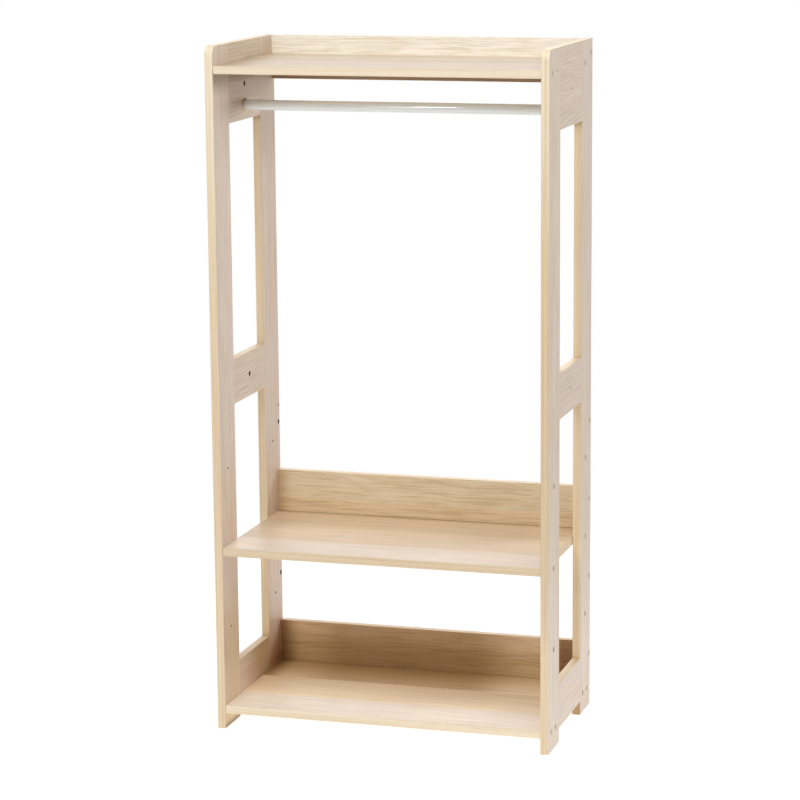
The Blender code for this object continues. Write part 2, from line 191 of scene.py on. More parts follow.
# %% Finishes
class Finish(Recipe):
    """The recipe of a surface finish, around one Principled shader."""

    def __init__(self, name):
        self.material = bpy.data.materials.new(name)
        self.material.use_nodes = True
        super().__init__(self.material.node_tree)
        self.shader = self.tree.nodes["Principled BSDF"]

    def place(self):
        """Wires of x, y and z on the piece, in metres."""
        spot = self.add("ShaderNodeTexCoord", {}, {}, "Object")
        parts = self.tree.nodes.new("ShaderNodeSeparateXYZ")
        self.tree.links.new(spot.output, parts.inputs[0])
        return [Wire(self, output) for output in parts.outputs]

    def blend(self, share, first, second, how="MIX"):
        """Mix two colours, or a colour and a wire. At share 0 the result is the first."""
        colours = [c if isinstance(c, Wire) else (*c, 1.0) for c in (first, second)]
        settings = {"data_type": "RGBA", "blend_type": how}
        return self.add("ShaderNodeMix", settings, {0: share, 6: colours[0], 7: colours[1]}, 2)

    def noise(self, vector, scale, detail=2.0, roughness=0.5):
        sockets = {"Vector": vector, "Scale": scale, "Detail": detail, "Roughness": roughness}
        return self.add("ShaderNodeTexNoise", {}, sockets)

    def ramp(self, wire, low, high):
        """0 where the wire is low or less, 1 where it is high or more, smooth between."""
        settings = {"interpolation_type": "SMOOTHSTEP"}
        return self.add("ShaderNodeMapRange", settings, {0: wire, 1: low, 2: high})

    def wear(self, colour=None, roughness=None, bump=None, height=0.0001, metallic=None):
        """Connect or set the shader's own sockets."""
        for socket, value in (
            ("Base Color", colour), ("Roughness", roughness), ("Metallic", metallic)
        ):
            if isinstance(value, Wire):
                self.tree.links.new(value.output, self.shader.inputs[socket])
            elif value is not None:
                self.shader.inputs[socket].default_value = value
        if bump is not None:
            relief = self.add(
                "ShaderNodeBump", {}, {"Strength": 1.0, "Distance": height, "Height": bump}
            )
            self.tree.links.new(relief.output, self.shader.inputs["Normal"])
        return self.material


print("finishes are ready")

# %% [markdown]
# ## Floor and light
# The rack stands in a white studio. The floor is a pale disc that fades out, so that it runs into
# the white backdrop without an edge. A glow of its own keeps it as white as a studio floor in full
# light. It lies a hair below the feet, so that no two faces fall together.

# %% Floor
FLOOR_RADIUS = 1.8
FLOOR_STEPS = 96
FLOOR_DROP = 0.0003
FLOOR_FADE_START = 0.8
FLOOR_GREY = (0.40, 0.40, 0.40)
FLOOR_ROUGHNESS = 0.9
FLOOR_GLOW = 0.78

floor_mesh = bmesh.new()
bmesh.ops.create_circle(floor_mesh, cap_ends=True, radius=FLOOR_RADIUS, segments=FLOOR_STEPS)
bmesh.ops.translate(floor_mesh, vec=(0.0, 0.0, -FLOOR_DROP), verts=floor_mesh.verts)
floor = bpy.data.objects.new("floor", bpy.data.meshes.new("floor"))
floor_mesh.to_mesh(floor.data)
floor_mesh.free()

plain_floor = Finish("pale_floor")
floor_x, floor_y = plain_floor.place()[:2]
floor_distance = (floor_x * floor_x + floor_y * floor_y).root()
plain_floor.wear((*FLOOR_GREY, 1.0), FLOOR_ROUGHNESS)
plain_floor.shader.inputs["Emission Color"].default_value = (1.0, 1.0, 1.0, 1.0)
plain_floor.shader.inputs["Emission Strength"].default_value = FLOOR_GLOW
floor_fade = plain_floor.ramp(floor_distance, FLOOR_FADE_START, FLOOR_RADIUS)
see_through = plain_floor.add("ShaderNodeBsdfTransparent", {}, {})
solid = Wire(plain_floor, plain_floor.shader.outputs[0])
faded = plain_floor.add("ShaderNodeMixShader", {}, {0: floor_fade, 1: solid, 2: see_through})
plain_floor.tree.links.new(
    faded.output, plain_floor.tree.nodes["Material Output"].inputs["Surface"]
)
floor.data.materials.append(plain_floor.material)
scene.collection.objects.link(floor)
print("floor radius:", FLOOR_RADIUS, "m")

# %% [markdown]
# One soft box hangs high over the front and casts the shadow of each shelf on the next, and a
# second fills in from the front. A low, wide strip at the front left gives the pipe its bright
# line. Two boxes on the right and a large one behind keep the inner faces from going dark. Each is
# a rectangular area light that looks at the rack.
#
# The strengths were fitted first: each light was rendered alone, and the sum was sought that comes
# nearest to the tones of the reference on some forty flat spots of the boards. After that, places
# and strengths were changed a little, one after another, until the whole picture agreed best.

# %% Soft boxes
# Each soft box: place, the point that it looks at, width and height in metres, power in watts
SOFT_BOXES = {
    "over_front": ((-0.3, -1.69, 4.23), (0.0, 0.0, 0.6), 1.3, 1.3, 57.0),
    "front": ((-0.3, -3.53, 2.48), (0.0, 0.0, 0.6), 1.0, 1.0, 28.0),
    "front_left": ((-1.0, -3.4, 1.46), (0.0, 0.0, 1.1), 1.3, 0.35, 11.0),
    "over_right": ((1.6, -1.4, 2.8), (0.0, 0.0, 0.7), 2.0, 2.0, 24.0),
    "right_rear": ((3.0, 1.8, 1.6), (0.0, 0.0, 0.6), 1.2, 1.2, 33.0),
    "behind": ((-0.6, 3.6, 1.9), (0.0, 0.0, 0.6), 2.4, 2.4, 40.0),
}


def hang_soft_box(name, place, target, width, height, power):
    """A rectangular area light. The camera doesn't see the box itself."""
    light = bpy.data.lights.new(name, "AREA")
    light.shape = "RECTANGLE"
    light.size = width
    light.size_y = height
    light.energy = power
    box = bpy.data.objects.new(name, light)
    box.location = place
    box.rotation_euler = (Vector(target) - Vector(place)).to_track_quat("-Z", "Y").to_euler()
    box.visible_camera = False
    scene.collection.objects.link(box)


for box_name, soft_box in SOFT_BOXES.items():
    hang_soft_box(box_name, *soft_box)
print("soft boxes:", ", ".join(SOFT_BOXES))

# %% [markdown]
# The backdrop is the scene's world. The camera sees it white, while the boards receive a weaker
# glow from it: from below the horizon, as from a wide white floor, and from high up behind, as from
# a white wall under a ceiling light. Light Path tells the two apart, and it stands in the world's
# tree alone, so no finish depends on it.

# %% Backdrop
BACKDROP = (1.0, 1.0, 1.0)
GLOW_BELOW = 0.60
GLOW_BEHIND = 0.50
GLOW_BEHIND_RISE = 0.37

world = bpy.data.worlds.new("backdrop")
world.use_nodes = True
scene.world = world
backdrop = Recipe(world.node_tree)
backdrop_shader = world.node_tree.nodes["Background"]
seen = backdrop.add("ShaderNodeLightPath", {}, {}, "Is Camera Ray")
direction = backdrop.add("ShaderNodeTexCoord", {}, {}, "Generated")
direction_y = backdrop.add("ShaderNodeSeparateXYZ", {}, {0: direction}, "Y")
direction_z = backdrop.add("ShaderNodeSeparateXYZ", {}, {0: direction}, "Z")
behind = (direction_z > GLOW_BEHIND_RISE) * (direction_y > 0.0)
glow = (direction_z < 0.0) * GLOW_BELOW + behind * GLOW_BEHIND
strength = seen + (1 - seen) * glow
backdrop_shader.inputs["Color"].default_value = (*BACKDROP, 1.0)
world.node_tree.links.new(strength.output, backdrop_shader.inputs["Strength"])
print("glow from below and from behind:", GLOW_BELOW, GLOW_BEHIND)

# %% [markdown]
# ## The printed oak finish
# The boards are chipboard under a printed foil. The picture on the foil is pale oak, so it is made
# here as the tree makes it: growth rings round a heart that lies below the board. The heart leans
# a little, so the rings leave the face in long arches. Finer streaks and pores run along the grain
# over them, and slow changes of tone make bands of pink and of straw.
#
# Every board has its own grain direction and its own log, so that no two look alike. The pattern
# reads the place on the piece in metres, turned so that its first axis runs along the grain.

# %% Colours of the foil, its edge band and the bare board
FOIL_CREAM = (0.86, 0.725, 0.620)
FOIL_PINK = (0.80, 0.636, 0.555)
FOIL_STRAW = (0.79, 0.690, 0.540)
FOIL_RING = (0.62, 0.460, 0.320)
FOIL_PORE = (0.52, 0.370, 0.240)
BAND_CREAM = (0.88, 0.705, 0.480)
BAND_LINE = (0.72, 0.520, 0.300)
BARE_PALE = (1.00, 0.900, 0.640)
# The darkest colour here is painted shade, not chipboard: it fills the deep part of every hole and
# all of a rail's holes.
PAINTED_HOLE_SHADE = (0.10, 0.070, 0.045)
FOIL_THICKNESS = 0.0002
BAND_THICKNESS = 0.0004

print("foil thickness:", FOIL_THICKNESS, "m, edge band thickness:", BAND_THICKNESS, "m")

# %% [markdown]
# The shelves and the middle back board are printed as if glued up from planks: straight borders
# with a fine pale line run along the board, and behind each border the grain is another. On the
# shelves most planks have a tone of their own too, which is partly print and partly painted shade
# and painted light. A tone is a factor on the colours of the foil.

# %% Printed planks
EVEN_TONE = (1.0, 1.0, 1.0)
# Borders between planks, in metres from the board's middle, and the tones from low to high, which
# are print and painted shade and light in one factor
PRINTS_AND_PAINTED_LIGHT = {
    "top_shelf": ((-0.060, 0.050), ((0.80, 0.74, 0.67), (0.83, 0.78, 0.69), (1.02, 1.01, 0.93))),
    "middle_shelf": ((-0.074, 0.040), (EVEN_TONE, (0.95, 0.88, 0.765), (0.99, 0.90, 0.75))),
    "bottom_shelf": (
        (-0.070, 0.044), ((1.08, 1.14, 1.17), (1.16, 1.12, 0.92), (0.87, 0.74, 0.52))
    ),
    "middle_back_board": ((-0.0137,), (EVEN_TONE, EVEN_TONE)),
}
SEAM_HALF_WIDTH = 0.0012
SEAM_STRENGTH = 0.14


def planks_and_painted_light(finish, across, borders, tones):
    """The tone factor of the plank under a spot (print and painted light together), the plank's
    number, and its pale border lines.
    """
    factor, number, seams = tones[0], 0.0, 0.0
    for border, tone in zip(borders, tones[1:]):
        behind = across > border
        factor = finish.blend(behind, factor, tone)
        number = behind + number
        seams = (abs(across - border) < SEAM_HALF_WIDTH) + seams
    return factor, number, seams


print("boards with printed planks:", ", ".join(PRINTS_AND_PAINTED_LIGHT))

# %% Growth rings
RINGS_PER_SCALE = 20.0 / (2.0 * math.pi)


def ring_lines(finish, along, across, through, log, bend):
    """Growth rings as the share of dark late wood, from a log that leans under the board."""
    heart_side, heart_depth, lean, ring_width = log
    rings = finish.add(
        "ShaderNodeTexWave",
        {"wave_type": "RINGS", "rings_direction": "X", "wave_profile": "SAW"},
        {
            "Vector": finish.vector(
                along * bend, across - heart_side, through + along * lean + heart_depth
            ),
            "Scale": 1.0 / (ring_width * RINGS_PER_SCALE),
            "Distortion": 7.0,
            "Detail": 3.0,
            "Detail Scale": 0.30,
            "Detail Roughness": 0.60,
        },
        "Fac",
    )
    profile = [(0.0, 0.35), (0.10, 0.0), (0.50, 0.10), (0.84, 1.0), (0.94, 0.6), (1.0, 0.35)]
    return finish.add("ShaderNodeValToRGB", {"stops": profile}, {0: rings})


print("rings in a metre of a wave texture at scale 1:", round(RINGS_PER_SCALE, 2))

# %% [markdown]
# The fine figure is noise drawn out along the grain, in many sizes: patches where the rings are
# clear or faint, slow changes of tone, pale bands, dark dashes and pale glints, fibres and pores.
# The lines of a grown tree wander, so a slow noise sways them to the side by a few millimetres.
# All sizes are given in features per metre, so they are the same on a long board and a short one.

# %% Streaks along the grain
# Each kind of streak: features per metre along and across the grain, and the levels of the noise
# at which it starts to show and is full
STREAKS = {
    "patches": (6, 26, 0.38, 0.62),
    "slow_tones": (0.9, 34, 0.38, 0.62),
    "pale_bands": (1.5, 110, 0.38, 0.64),
    "dark_dashes": (10, 290, 0.50, 0.58),
    "pale_glints": (8, 340, 0.53, 0.61),
    "fibres": (7, 900, 0.45, 0.75),
    "pores": (45, 1900, 0.62, 0.70),
    "edge_stripes": (2.0, 420, 0.42, 0.66),
    "edge_specks": (30, 700, 0.50, 0.70),
}
STREAK_ROUGHNESS = 0.6
SWAY_ACROSS_RATE = 30


def grain_noise(finish, kind, shifted, across, through):
    """Noise drawn out along the grain, at the rates of that kind of streak."""
    along_rate, across_rate = STREAKS[kind][:2]
    vector = finish.vector(shifted * along_rate, across * across_rate, through * across_rate)
    return finish.noise(vector, 1.0, roughness=STREAK_ROUGHNESS)


def streaks(finish, kind, *spot):
    """How much of that kind of streak a spot shows, from 0 to 1."""
    start, full = STREAKS[kind][2:]
    return finish.ramp(grain_noise(finish, kind, *spot), start, full)


def swayed(finish, shifted, across, rate, size):
    """The place across the grain, moved to the side as the lines of the wood wander."""
    vector = finish.vector(shifted * rate, across * SWAY_ACROSS_RATE, 0.0)
    return across + (finish.noise(vector, 1.0) - 0.5) * size


print("kinds of streak:", len(STREAKS))

# %% [markdown]
# ## Zones of shade and light
# The bays of the real rack get darker towards their rear corners and under the top shelf, and some
# stretches of the shelves and back boards catch more light. Lamps alone can't give all of it
# without harm to the tones elsewhere. So a zone multiplies the colour of its board by a tone: it
# is a smooth ramp along one axis of the piece, and a test keeps it to one face, plank or stretch.
# It reads the place on the piece, so it stays there when the camera moves.

# %% Where zones can lie
# Places of the boards in metres: the side frames' faces and middle by the distance from x = 0, the
# middles of two shelves by their height, and the others by y
OUTER_FACE = 0.315
SIDE_MIDDLE = 0.3075
INNER_FACE = 0.300
LOWEST_SHELF = 0.036
TOP_SHELF = 1.2175
BACK_BOARD_MIDDLE = 0.160
POST_INNER_EDGE = 0.0855
RECESS_REAR = -0.120
BOTTOM_SHELF_BORDER = 0.044
MIDDLE_SHELF_BORDER = 0.040
# How far the tests for a face and for an edge reach into the board
FACE_REACH = 0.0004
EDGE_REACH = 0.001
# The shade beside the pipe: its height, how fast it fades to both sides, and its rear end
PIPE_SHADE_HEIGHT = 1.149
PIPE_SHADE_FADE = 90.0
PIPE_SHADE_REAR = -0.008


def everywhere(x, y, z):
    return 1.0


def inner_side(x, y, z):
    return abs(x) < INNER_FACE + FACE_REACH


def inner_half(x, y, z):
    return abs(x) < SIDE_MIDDLE


def beside_recess(x, y, z):
    return y > RECESS_REAR


def inner_under_shelf(x, y, z):
    return inner_side(x, y, z) * (z < TOP_SHELF)


def inner_above_shelf(x, y, z):
    return inner_side(x, y, z) * (z > LOWEST_SHELF)


def front_side(x, y, z):
    return y < BACK_BOARD_MIDDLE


def rear_plank(x, y, z):
    return y > BOTTOM_SHELF_BORDER


def middle_plank(x, y, z):
    return y < MIDDLE_SHELF_BORDER


def front_reveal(x, y, z):
    return y < POST_INNER_EDGE + EDGE_REACH


def beside_pipe(x, y, z):
    fade = (1.0 - abs(z - PIPE_SHADE_HEIGHT) * PIPE_SHADE_FADE).at_least(0.0)
    return inner_side(x, y, z) * (y < PIPE_SHADE_REAR) * fade


print("inner faces at x = +/-", INNER_FACE)

# %% Tones of the zones
# Each zone: its axis, where it starts and where it is full, the tone, and the test. A name such as
# rear_post stands for every board whose name ends like that, and WHOLE_BOARD is full at any height
WHOLE_BOARD = ("z", -0.001, 0.0)
FOIL_SHADES = {
    "front_post": (
        ("z", 1.165, 1.206, (0.62, 0.60, 0.52), inner_under_shelf),
        ("z", 0.330, 0.160, (1.07, 1.04, 0.92), inner_side),
        ("z", 0.030, 0.028, (0.90, 0.84, 0.66), inner_side),
        ("z", 0.014, 0.001, (0.45, 0.42, 0.36), inner_side),
    ),
    "left_front_post": (("z", 0.350, 0.450, (1.05, 1.08, 1.10), inner_side),),
    "rear_post": (
        ("z", 0.160, 0.050, (0.60, 0.44, 0.30), inner_above_shelf),
        ("z", 0.980, 1.110, (0.80, 0.80, 0.82), inner_under_shelf),
    ),
    "top_rail": (
        ("z", 1.125, 1.165, (0.77, 0.76, 0.77), inner_under_shelf),
        ("z", 1.180, 1.206, (0.68, 0.57, 0.49), inner_under_shelf),
        ("y", -0.085, -0.040, (0.70, 0.62, 0.52), beside_pipe),
    ),
    "bottom_rail": (("y", -0.085, 0.040, (0.66, 0.57, 0.40), inner_above_shelf),),
    "top_shelf": (("x", -0.200, -0.297, (0.80, 0.77, 0.70), everywhere),),
    "middle_shelf": (
        ("y", -0.060, 0.036, (1.11, 1.10, 1.08), middle_plank),
        ("y", 0.135, 0.151, (0.80, 0.80, 0.74), everywhere),
    ),
    "bottom_shelf": (
        ("y", 0.060, 0.150, (0.74, 0.71, 0.59), everywhere),
        ("x", 0.085, 0.200, (1.50, 1.75, 2.20), rear_plank),
        ("x", -0.150, -0.250, (1.33, 1.42, 1.60), rear_plank),
        ("x", -0.255, -0.298, (0.46, 0.37, 0.26), rear_plank),
    ),
    "middle_back_board": (
        (*WHOLE_BOARD, (1.08, 1.08, 0.94), front_side),
        ("z", 0.3708, 0.3698, (0.963, 0.917, 0.819), front_side),
        ("x", -0.270, -0.300, (0.86, 0.82, 0.72), front_side),
    ),
    "bottom_back_board": (
        (*WHOLE_BOARD, (0.745, 0.605, 0.42), front_side),
        ("z", 0.118, 0.078, (0.75, 0.71, 0.57), front_side),
        ("x", 0.085, 0.200, (1.52, 1.74, 2.12), front_side),
        ("x", -0.160, -0.250, (1.50, 1.67, 1.88), front_side),
        ("x", -0.255, -0.298, (0.44, 0.33, 0.23), front_side),
        ("x", 0.240, 0.266, (0.46, 0.35, 0.26), front_side),
    ),
    "top_back_board": (
        (*WHOLE_BOARD, (1.14, 1.28, 1.36), front_side),
        ("z", 1.206, 1.200, (0.38, 0.25, 0.16), front_side),
    ),
}
BAND_SHADES = {
    "front_post": (("z", 0.850, 1.200, (1.08, 1.17, 1.28), everywhere),),
    "right_front_post": (("z", 0.150, 0.330, (0.92, 0.91, 0.88), everywhere),),
    "rear_post": (
        ("z", 0.032, 0.028, (0.62, 0.54, 0.42), front_reveal),
        ("z", 1.100, 1.117, (0.60, 0.56, 0.46), front_reveal),
    ),
    "top_shelf": ((*WHOLE_BOARD, (1.01, 1.07, 1.18), everywhere),),
    "middle_shelf": ((*WHOLE_BOARD, (0.95, 0.95, 0.95), everywhere),),
    "bottom_shelf": ((*WHOLE_BOARD, (1.10, 1.17, 1.28), everywhere),),
}
BARE_SHADES = {
    "_post": ((*WHOLE_BOARD, (0.10, 0.09, 0.08), inner_half),),
    "front_post": (("z", 1.200, 1.210, (0.50, 0.45, 0.42), beside_recess),),
}


def shaded(finish, wires, colour, node, shades):
    """Multiply the colour by the tones of the zones on this board."""
    for ending, zones in shades.items():
        if node.endswith(ending):
            for axis, start, full, tone, part in zones:
                share = finish.ramp(wires["xyz".index(axis)], start, full) * part(*wires)
                colour = finish.blend(share, colour, tone, "MULTIPLY")
    return colour


print("kinds of board with zones on the foil:", len(FOIL_SHADES))

# %% [markdown]
# ## The laminate of a board
# A board shows three materials. Foil covers its two faces, a plainer band is glued round its rim,
# and bare chipboard shows in its holes. Each gets its own colour here, and depth tells them apart:
# a spot near the rim is band, and one that lies deeper than the foil is bare. One shader does all
# three, because a board is one piece. Boards and planks read stretches of the noise that lie
# metres apart, so that none repeats another.

# %% The oak print on the foil
BOARD_SHIFT = 3.7
PLANK_SHIFT = 1.3
PLANK_RING_SHIFTS = (0.4, 0.017)
GLINT_SHIFT = 9.1
FAINTEST_RINGS = 0.25
PALE_BAND_SHARE = 0.80
GLINT_SHARE = 1.6
FIBRE_SHARE = 0.25
PORE_SHARE = 0.35


def oak_print(finish, place, figure, log, planks):
    """The oak on the foil: its colour, and the rings, pores and fibres that make its relief."""
    along, across, through, shifted = place
    ring_strength, line_strength, bend, pink_share, sway_rate, sway_size = figure
    factor, plank, seams = planks
    wavy = swayed(finish, shifted, across, sway_rate, sway_size)
    spot = (shifted, wavy, through)

    ring_along, ring_across = (plank * shift for shift in PLANK_RING_SHIFTS)
    rings = ring_lines(finish, along + ring_along, wavy + ring_across, through, log, bend)
    patches = streaks(finish, "patches", shifted, across, through)
    rings = rings * (FAINTEST_RINGS + patches * (1.0 - FAINTEST_RINGS))
    glints = streaks(finish, "pale_glints", shifted + GLINT_SHIFT, wavy, through)
    fibres = grain_noise(finish, "fibres", *spot)
    fibre_lines = finish.ramp(fibres, *STREAKS["fibres"][2:])
    pores = streaks(finish, "pores", *spot)

    straw_share = (1.0 - pink_share) + streaks(finish, "slow_tones", *spot) * pink_share
    colour = finish.blend(straw_share, FOIL_PINK, FOIL_STRAW)
    for share, layer in (
        (streaks(finish, "pale_bands", *spot) * PALE_BAND_SHARE, FOIL_CREAM),
        (streaks(finish, "dark_dashes", *spot) * line_strength, FOIL_RING),
        (glints * (line_strength * GLINT_SHARE), FOIL_CREAM),
        (fibre_lines * FIBRE_SHARE, FOIL_RING),
        (rings * ring_strength, FOIL_RING),
        (pores * PORE_SHARE, FOIL_PORE),
    ):
        colour = finish.blend(share, colour, layer)
    colour = finish.blend(1.0, colour, factor, "MULTIPLY")
    colour = finish.blend(seams * SEAM_STRENGTH, colour, FOIL_CREAM)
    return colour, rings, pores, fibres


print("strength of a pale glint against a dark dash:", GLINT_SHARE)

# %% Edge band and bare board
STRIPE_SHARE = 0.55
SPECK_SHARE = 0.20
CHIP_RATE = 900.0
CHIP_LEVELS = (0.3, 0.7)
DARKER_CHIP = 0.85
# Painted shade deeper in a hole: the depths where it starts and where it is full, and its strength
HOLE_DEPTHS = (0.0025, 0.0036)
HOLE_SHADE = 0.9


def band_print(finish, place):
    """The plain print of the edge band."""
    along, across, through, shifted = place
    stripes = streaks(finish, "edge_stripes", shifted, across, through)
    specks = streaks(finish, "edge_specks", shifted, across, through)
    colour = finish.blend(stripes * STRIPE_SHARE, BAND_CREAM, BAND_LINE)
    return finish.blend(specks * SPECK_SHARE, colour, BAND_LINE)


def bare_chips(finish, place, bare_board, depth):
    """Chipboard in a hole: chips of two tones, and painted shade further in."""
    along, across, through, shifted = place
    noise = finish.noise(finish.vector(shifted, across, through), CHIP_RATE, 2.0, 0.7)
    darker = [channel * DARKER_CHIP for channel in bare_board]
    colour = finish.blend(finish.ramp(noise, *CHIP_LEVELS), darker, bare_board)
    return finish.blend(finish.ramp(depth, *HOLE_DEPTHS) * HOLE_SHADE, colour, PAINTED_HOLE_SHADE)


def near_rim(along, across, half_along, half_across, corner_radius):
    """1 within the thickness of the edge band, which also follows a round top corner."""
    beyond_side = abs(across) > half_across - BAND_THICKNESS
    beyond_end = abs(along) > half_along - BAND_THICKNESS
    banded = beyond_side.at_least(beyond_end)
    if corner_radius:
        up = (along - (half_along - corner_radius)).at_least(0.0)
        out = (-1.0 * across - (half_across - corner_radius)).at_least(0.0)
        reach = (up * up + out * out).root()
        banded = banded.at_least(reach > corner_radius - BAND_THICKNESS)
    return banded


print("holes get dark at a depth of", HOLE_DEPTHS, "m")

# %% One board's laminate
FOIL_ROUGHNESS = 0.40
FIBRE_ROUGHNESS = 0.10
PORE_ROUGHNESS = 0.15
BARE_ROUGHNESS = 0.35
RING_RELIEF = 0.5
PORE_RELIEF = 0.6
FIBRE_RELIEF = 0.2
RELIEF_HEIGHT = 0.00004


def board_laminate(node, seed, grain, figure, log, bare_board, corner_radius):
    """The finish of one board. Its grain names the axes along, across and through, as "zyx"."""
    low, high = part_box(node)
    centre = (low + high) / 2
    half = (high - low) / 2
    order = ["xyz".index(letter) for letter in grain]
    finish = Finish(node + "_laminate")
    wires = finish.place()
    along, across, through = (wires[axis] - centre[axis] for axis in order)
    half_along, half_across, half_through = (half[axis] for axis in order)
    planks = planks_and_painted_light(finish, across, *PRINTS_AND_PAINTED_LIGHT.get(node, ((), (EVEN_TONE,))))
    shifted = along + planks[1] * PLANK_SHIFT + seed * BOARD_SHIFT
    place = (along, across, through, shifted)

    foil, rings, pores, fibres = oak_print(finish, place, figure, log, planks)
    bare = bare_chips(finish, place, bare_board, half_through - abs(through))
    foil = shaded(finish, wires, foil, node, FOIL_SHADES)
    band = shaded(finish, wires, band_print(finish, place), node, BAND_SHADES)
    bare = shaded(finish, wires, bare, node, BARE_SHADES)

    banded = near_rim(along, across, half_along, half_across, corner_radius)
    inside = (abs(through) < half_through - FOIL_THICKNESS) * (1 - banded)
    colour = finish.blend(inside, finish.blend(banded, foil, band), bare)
    relief = (1 - rings * RING_RELIEF) - pores * PORE_RELIEF + fibres * FIBRE_RELIEF
    roughness = FOIL_ROUGHNESS + fibres * FIBRE_ROUGHNESS + pores * PORE_ROUGHNESS
    roughness = roughness + inside * BARE_ROUGHNESS
    return finish.wear(colour, roughness, relief, RELIEF_HEIGHT)


print("relief of the print:", RELIEF_HEIGHT, "m")

# %% [markdown]
# A log is given by four numbers: how far its heart lies to the side of the board's middle and below
# its face, how much it leans along the board, and the width of a year's ring. A heart far below the
# face gives the straight lines of the posts. A near one with a strong lean gives the arches that
# cross the short rails. Small changes from board to board, drawn from a seeded generator, keep two
# boards of a kind from looking alike.

# %% Finish every board
CORNER_RADIUS = 0.018
LOG_SEED = 7
HEART_SPREAD = (-0.008, 0.008)
LEAN_SPREAD = (0.8, 1.2)
RING_SPREAD = (0.9, 1.1)
# For each kind of board: the grain's axes; then its figure, which is the strengths of the rings
# and of the fine lines, how much the rings bend along the board, the share of pink, and how often
# and how far the grain sways; then the log
BOARD_KINDS = {
    "post": ("zyx", (0.35, 0.36, 0.08, 1.0, 6, 0.004), (0.065, 0.055, 0.010, 0.0100)),
    "top_rail": ("yzx", (0.60, 0.36, 0.25, 1.0, 5, 0.016), (-0.105, 0.050, -0.10, 0.0060)),
    "middle_rail": ("yzx", (0.55, 0.36, 0.25, 1.0, 5, 0.012), (-0.075, 0.050, -0.08, 0.0062)),
    "bottom_rail": ("yzx", (0.55, 0.36, 0.25, 1.0, 5, 0.012), (-0.075, 0.050, -0.10, 0.0068)),
    "shelf": ("xyz", (0.30, 0.36, 0.15, 0.6, 8, 0.006), (0.050, 0.070, 0.020, 0.0080)),
    "board": ("xzy", (0.40, 0.60, 0.25, 0.4, 12, 0.009), (0.030, 0.095, 0.030, 0.0042)),
}


def kind_of(node):
    return next((kind for kind in BOARD_KINDS if node.endswith("_" + kind)), None)


boards = [node for node in sorted(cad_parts) if kind_of(node)]
laminates = {}
luck = random.Random(LOG_SEED)
for seed, node in enumerate(boards, 1):
    grain, figure, (heart_side, heart_depth, lean, ring_width) = BOARD_KINDS[kind_of(node)]
    log = (
        heart_side + luck.uniform(*HEART_SPREAD),
        heart_depth + luck.uniform(*HEART_SPREAD),
        lean * luck.uniform(*LEAN_SPREAD),
        ring_width * luck.uniform(*RING_SPREAD),
    )
    # A rail's holes are painted dark all through as shade; a post's holes show pale chipboard.
    bare_board = PAINTED_HOLE_SHADE if node.endswith("_rail") else BARE_PALE
    corner = CORNER_RADIUS if node.endswith("front_post") else 0.0
    laminates[node] = board_laminate(node, seed, grain, figure, log, bare_board, corner)
    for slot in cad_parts[node].material_slots:
        slot.material = laminates[node]
print("boards finished:", len(boards))

# %% [markdown]
# ## Patterns that repeat
# What repeats is grown by Geometry Nodes: a tree is built here in code, with its sizes as named
# inputs. A modifier runs it on a small mesh, and the result is kept as a plain mesh, because
# instances and live modifiers don't survive an export. Some shapes are placed on points, and each
# point carries its own direction, in an attribute named aim.

